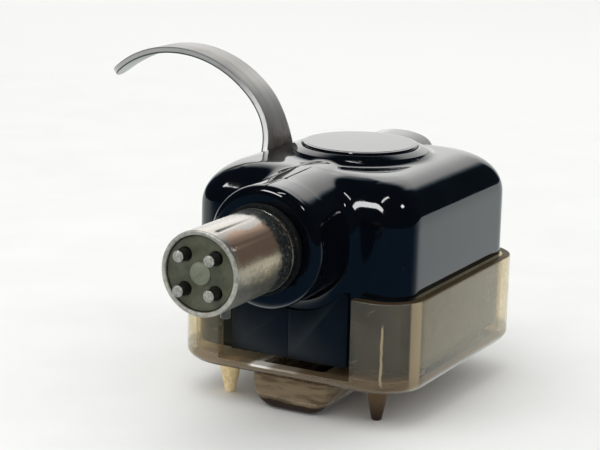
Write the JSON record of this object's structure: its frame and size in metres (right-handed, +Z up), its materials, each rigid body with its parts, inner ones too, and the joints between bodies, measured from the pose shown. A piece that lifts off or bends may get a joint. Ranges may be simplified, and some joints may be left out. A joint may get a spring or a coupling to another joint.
{
  "type": "phono cartridge",
  "caption": "Moving-coil phono cartridge in a glossy black headshell with a bayonet plug, a curved steel finger lift and a clear amber stylus guard",
  "frame": {"origin": "the middle of the flat foot under the stylus guard, on the table the cartridge stands on", "axes": "+Z up, +Y from the plug to the front of the shell, +X to the right seen from the plug, the finger lift on the -X side"},
  "size_m": [0.0429, 0.0455, 0.033],
  "materials": {
    "black_shell": "glossy moulded black, blue tinge",
    "label_foil": "dark blue foil, unprinted",
    "screw_brass": "turned",
    "plug_nickel": "nickel plate, tarnished in brown patches",
    "gasket_rubber": "plain",
    "insulator_plastic": "grey-green moulded",
    "screw_steel": "turned",
    "lift_steel": "brushed along the strip, bright edges",
    "carrier_plastic": "moulded",
    "board_brown": "laminated board",
    "weight_brass": "cast",
    "guard_amber": "clear plastic, aged amber",
    "magnet_grey": "sintered",
    "soft_iron": "ground",
    "damper_rubber": "plain",
    "cantilever_aluminium": "drawn tube",
    "stylus_diamond": "polished",
    "terminal_brass": "plated",
    "coil_copper": "enamelled copper",
    "lead_red": "lead cover",
    "lead_white": "lead cover",
    "lead_green": "lead cover",
    "lead_blue": "lead cover"
  },
  "bodies": {
    "headshell": {"shell": "black_shell", "top_cap": "black_shell", "label_plate": "label_foil", "mounting_screw": "screw_brass", "mounting_washer": "screw_brass", "connector_sleeve": "plug_nickel", "locating_pin": "plug_nickel", "collar_gasket": "gasket_rubber", "connector_insulator": "insulator_plastic", "insulator_rivet": "insulator_plastic", "sleeve_set_screw": "screw_steel", "finger_lift": "lift_steel", "lift_screw": "screw_steel", "motor_carrier": "carrier_plastic", "terminal_board": "board_brown", "balance_weight": "weight_brass", "bottom_cover": "carrier_plastic", "cover_screw_left": "screw_steel", "cover_screw_right": "screw_steel", "magnet": "magnet_grey", "rear_yoke": "soft_iron", "front_yoke": "soft_iron", "pole_piece": "soft_iron", "suspension_wire": "screw_steel", "wire_clamp_screw": "screw_steel", "contact_pin_1": "plug_nickel", "contact_pin_2": "plug_nickel", "contact_pin_3": "plug_nickel", "contact_pin_4": "plug_nickel", "terminal_pin_1": "terminal_brass", "terminal_pin_2": "terminal_brass", "terminal_pin_3": "terminal_brass", "terminal_pin_4": "terminal_brass", "lead_wire_1": "lead_red", "lead_wire_2": "lead_white", "lead_wire_3": "lead_green", "lead_wire_4": "lead_blue"},
    "guard": {"stylus_guard": "guard_amber"},
    "damper_disc": {"damper": "damper_rubber"},
    "stylus_assembly": {"armature": "soft_iron", "coil_1": "coil_copper", "coil_2": "coil_copper", "coil_3": "coil_copper", "coil_4": "coil_copper", "cantilever": "cantilever_aluminium", "stylus_tip": "stylus_diamond"}
  },
  "joints": [
    {"name": "guard_slide", "type": "slide", "parent": "headshell", "child": "guard", "axis": [0, 0, -1], "range_m": [0, 0.012]},
    {"name": "cantilever_vertical", "type": "hinge", "parent": "headshell", "child": "damper_disc", "pos_m": [0, 0.01064, 0.0068], "axis": [1, 0, 0], "range_deg": [-3, 3], "stiffness_Nm_per_rad": 0.005},
    {"name": "cantilever_lateral", "type": "hinge", "parent": "damper_disc", "child": "stylus_assembly", "pos_m": [0, 0.01064, 0.0068], "axis": [0, 0.4067, 0.9136], "range_deg": [-3, 3], "stiffness_Nm_per_rad": 0.005}
  ]
}
